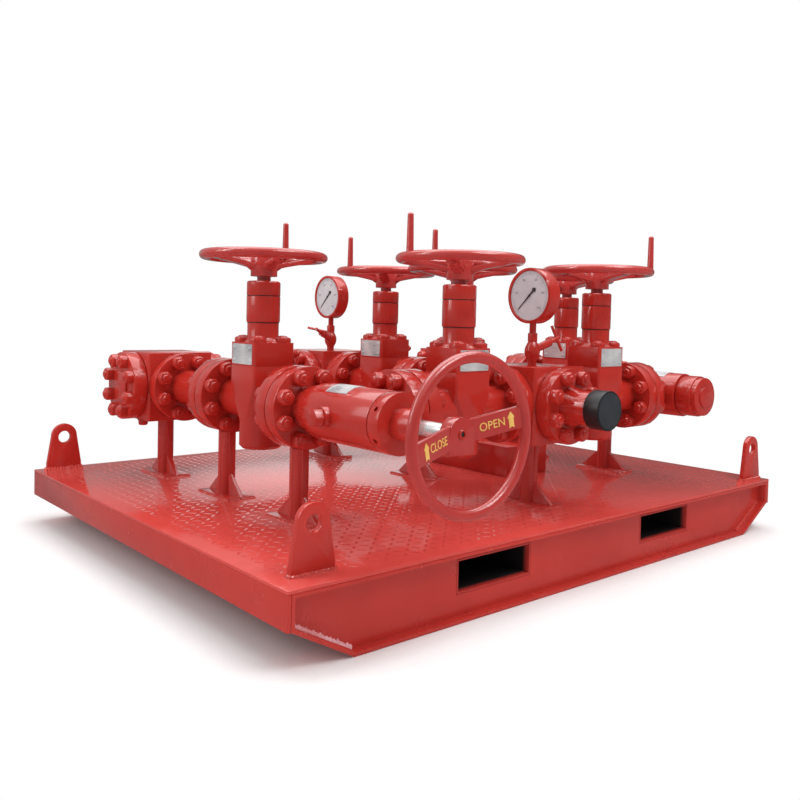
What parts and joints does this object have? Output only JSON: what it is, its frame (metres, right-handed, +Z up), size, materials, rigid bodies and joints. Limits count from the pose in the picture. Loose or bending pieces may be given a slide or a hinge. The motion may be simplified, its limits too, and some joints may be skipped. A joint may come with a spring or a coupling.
{
  "type": "choke manifold",
  "caption": "Skid-mounted choke manifold with gate valves, an adjustable and a fixed choke, flow blocks, gauges, lifting lugs and fork pockets.",
  "frame": {"origin": "on the floor, at the centre of the bounding box in plan", "axes": "+X along the front edge towards the blank choke, +Y from the choke handwheel towards the rear row, +Z up"},
  "size_m": [2, 1.7664, 0.992],
  "materials": {
    "paint": "glossy red enamel",
    "deck": "glossy red enamel on chequer plate",
    "steel": "bright turned steel",
    "cap": "satin black moulded cap"
  },
  "bodies": {
    "skid": {"deck_plate": "deck", "runners": "paint", "end_beams": "paint", "fork_sleeves": "paint", "lifting_lugs": "paint", "pedestals": "paint", "deck_box": "paint", "front_block": "paint", "rear_left_block": "paint", "rear_center_block": "paint", "rear_right_block": "paint", "blind_flanges": "paint", "spools": "paint", "rear_adapter": "paint", "inlet_hub": "paint", "inlet_cap": "cap", "left_valve_body": "paint", "left_valve_bonnet": "paint", "right_valve_body": "paint", "right_valve_bonnet": "paint", "front_left_valve_body": "paint", "front_left_valve_bonnet": "paint", "front_right_valve_body": "paint", "front_right_valve_bonnet": "paint", "bypass_front_valve_body": "paint", "bypass_front_valve_bonnet": "paint", "bypass_rear_valve_body": "paint", "bypass_rear_valve_bonnet": "paint", "choke_a_body": "paint", "choke_a_bonnet": "paint", "choke_b_body": "paint", "choke_b_cap": "paint", "front_gauge": "paint", "front_gauge_valve": "paint", "rear_gauge": "paint", "rear_gauge_valve": "paint"},
    "left_valve_handwheel": {"left_valve_wheel": "paint"},
    "right_valve_handwheel": {"right_valve_wheel": "paint"},
    "front_left_valve_handwheel": {"front_left_valve_wheel": "paint"},
    "front_right_valve_handwheel": {"front_right_valve_wheel": "paint"},
    "bypass_front_valve_handwheel": {"bypass_front_valve_wheel": "paint"},
    "bypass_rear_valve_handwheel": {"bypass_rear_valve_wheel": "paint"},
    "choke_handwheel": {"choke_a_wheel": "paint", "choke_a_stem": "steel"},
    "front_gauge_tee": {"front_gauge_handle": "paint"},
    "rear_gauge_tee": {"rear_gauge_handle": "paint"}
  },
  "joints": [
    {"name": "left_valve_turn", "type": "hinge", "parent": "skid", "child": "left_valve_handwheel", "pos_m": [-0.667, -0.03225, 0.879], "axis": [0, 0, 1], "continuous": true},
    {"name": "right_valve_turn", "type": "hinge", "parent": "skid", "child": "right_valve_handwheel", "pos_m": [0.675, -0.03225, 0.879], "axis": [0, 0, 1], "continuous": true},
    {"name": "front_left_valve_turn", "type": "hinge", "parent": "skid", "child": "front_left_valve_handwheel", "pos_m": [-0.3025, -0.44575, 0.879], "axis": [0, 0, 1], "continuous": true},
    {"name": "front_right_valve_turn", "type": "hinge", "parent": "skid", "child": "front_right_valve_handwheel", "pos_m": [0.3105, -0.44575, 0.879], "axis": [0, 0, 1], "continuous": true},
    {"name": "bypass_front_valve_turn", "type": "hinge", "parent": "skid", "child": "bypass_front_valve_handwheel", "pos_m": [0.004, -0.13925, 0.879], "axis": [0, 0, 1], "continuous": true},
    {"name": "bypass_rear_valve_turn", "type": "hinge", "parent": "skid", "child": "bypass_rear_valve_handwheel", "pos_m": [0.004, 0.25375, 0.879], "axis": [0, 0, 1], "continuous": true},
    {"name": "choke_turn", "type": "hinge", "parent": "skid", "child": "choke_handwheel", "pos_m": [-0.667, -0.87075, 0.475], "axis": [0, -1, 0], "continuous": true},
    {"name": "front_gauge_valve_turn", "type": "hinge", "parent": "skid", "child": "front_gauge_tee", "pos_m": [0.004, -0.44575, 0.62367], "axis": [0.9397, 0, 0.342], "continuous": true},
    {"name": "rear_gauge_valve_turn", "type": "hinge", "parent": "skid", "child": "rear_gauge_tee", "pos_m": [0.004, 0.59125, 0.62367], "axis": [-0.8297, -0.4412, 0.342], "continuous": true}
  ]
}
